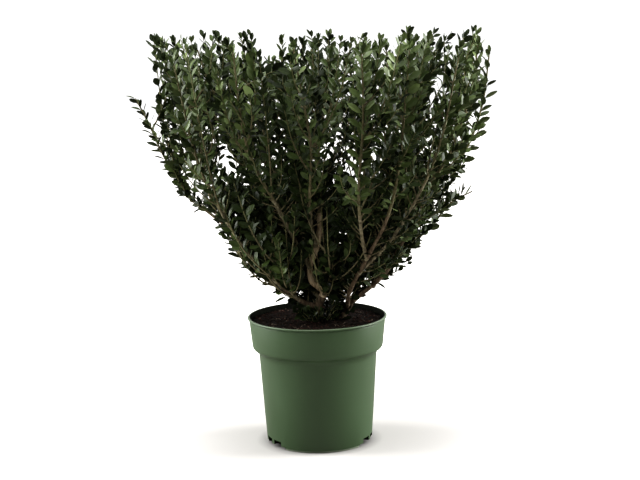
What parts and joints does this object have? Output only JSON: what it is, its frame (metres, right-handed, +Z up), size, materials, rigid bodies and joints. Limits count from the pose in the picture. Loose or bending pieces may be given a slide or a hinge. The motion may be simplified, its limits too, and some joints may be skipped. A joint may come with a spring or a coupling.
{
  "type": "japanese holly shrub",
  "caption": "Upright bushy evergreen shrub with small blunt leaves on many thin stems, clipped flat on top, growing in a round nursery pot with a deep collar.",
  "frame": {"origin": "centre of the pot's flat underside, on the surface that the pot stands on", "axes": "+Z up along the pot's axis, -Y towards the viewer of the picture, +X to the picture's right"},
  "size_m": [0.5955, 0.5411, 0.6819],
  "materials": {
    "pot": "matt moulded plastic, sage green",
    "soil": "damp bark and peat mix",
    "bark": "thin rough bark, tan to brown",
    "leaf": "dark green, slightly glossy leaves"
  },
  "bodies": {
    "root": {"pot": "pot", "soil": "soil", "trunk": "bark", "stem_right": "bark", "bough_back_centre": "bark", "bough_back_left": "bark", "bough_back_left_outer": "bark", "bough_back_right": "bark", "bough_back_right_outer": "bark", "bough_front": "bark", "bough_front_centre": "bark", "bough_front_right": "bark", "bough_inner_back": "bark", "bough_inner_left": "bark", "bough_inner_right": "bark", "bough_left_front": "bark", "bough_left_front_outer": "bark", "bough_left_inner": "bark", "bough_left_lobe": "bark", "bough_left_mid": "bark", "bough_right_edge": "bark", "bough_right_front_outer": "bark", "bough_right_inner": "bark", "bough_right_low": "bark", "foliage_back_centre": "leaf", "foliage_back_left": "leaf", "foliage_back_left_outer": "leaf", "foliage_back_right": "leaf", "foliage_back_right_outer": "leaf", "foliage_centre": "leaf", "foliage_front": "leaf", "foliage_front_centre": "leaf", "foliage_front_right": "leaf", "foliage_inner_back": "leaf", "foliage_inner_left": "leaf", "foliage_inner_right": "leaf", "foliage_left_front": "leaf", "foliage_left_front_outer": "leaf", "foliage_left_inner": "leaf", "foliage_left_lobe": "leaf", "foliage_left_mid": "leaf", "foliage_low_back": "leaf", "foliage_low_front": "leaf", "foliage_low_front_left": "leaf", "foliage_low_left": "leaf", "foliage_low_right": "leaf", "foliage_right_edge": "leaf", "foliage_right_front_outer": "leaf", "foliage_right_inner": "leaf", "foliage_right_low": "leaf", "foliage_right_mid": "leaf"}
  },
  "joints": []
}
